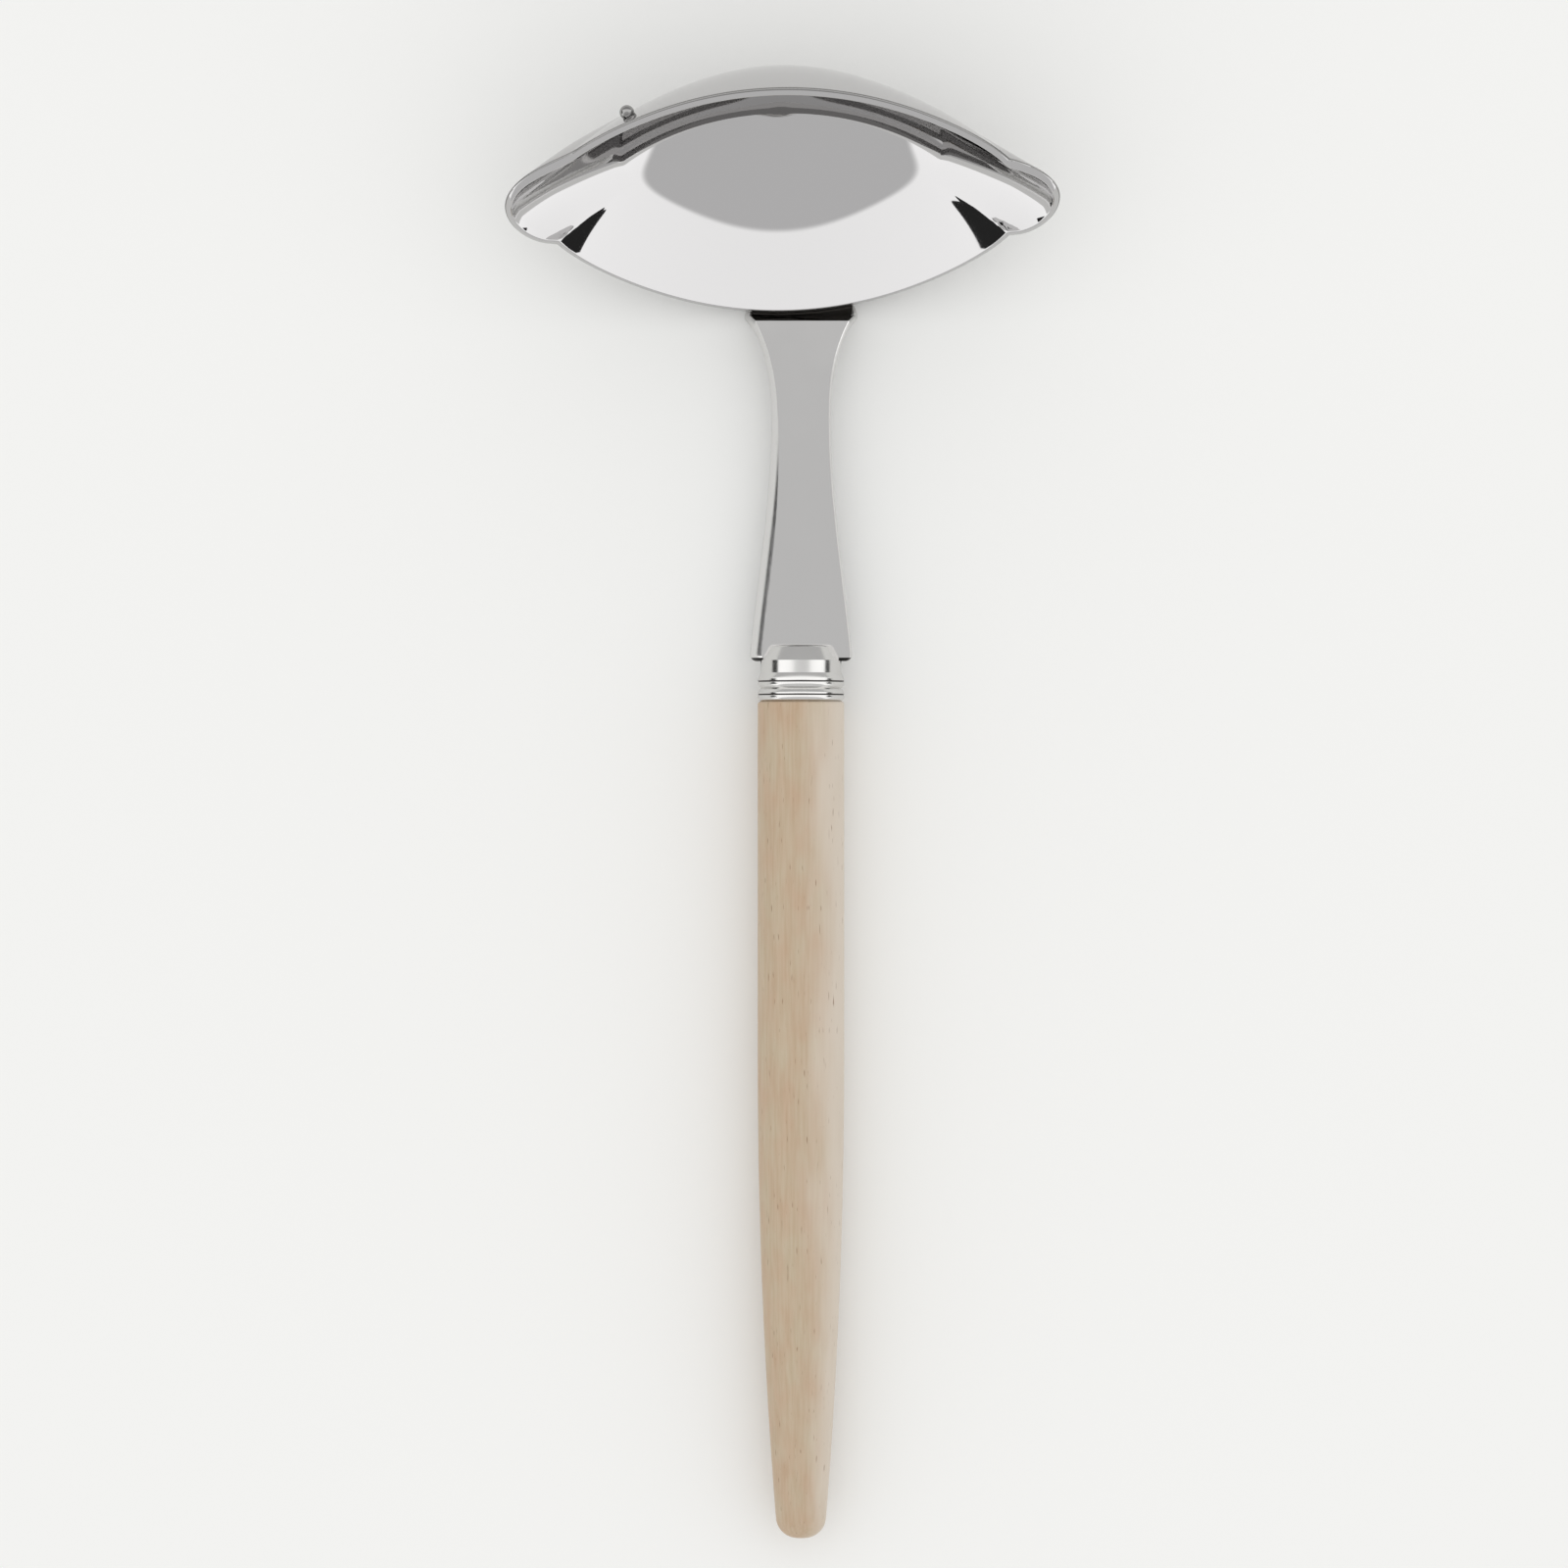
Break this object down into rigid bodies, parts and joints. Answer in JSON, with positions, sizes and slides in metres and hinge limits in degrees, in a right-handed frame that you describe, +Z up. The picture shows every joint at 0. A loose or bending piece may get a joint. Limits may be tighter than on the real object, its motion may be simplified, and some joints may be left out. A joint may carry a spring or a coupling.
{
  "type": "gravy ladle",
  "caption": "Oval polished steel bowl with a pouring lip at each end, on a waisted flat neck, with a beaded ferrule and a tapered round wooden handle.",
  "frame": {"origin": "middle of the bounding box's underside, on the table that the ladle lies on", "axes": "+Y along the handle from its end to the bowl, +Z up from the table, out of the bowl's open side"},
  "size_m": [0.073, 0.1938, 0.0343],
  "materials": {
    "bowl_steel": "mirror polished stainless steel",
    "neck_steel": "mirror polished stainless steel",
    "braze_metal": "satin filler metal",
    "ferrule_steel": "polished stainless steel",
    "handle_wood": "satin, pale close-grained wood with short dark flecks",
    "resin": "cured clear resin",
    "bead_steel": "polished stainless steel"
  },
  "bodies": {
    "root": {"bowl": "bowl_steel", "neck": "neck_steel", "braze": "braze_metal", "ferrule": "ferrule_steel", "handle": "handle_wood", "adhesive": "resin", "rest_bead": "bead_steel"}
  },
  "joints": []
}
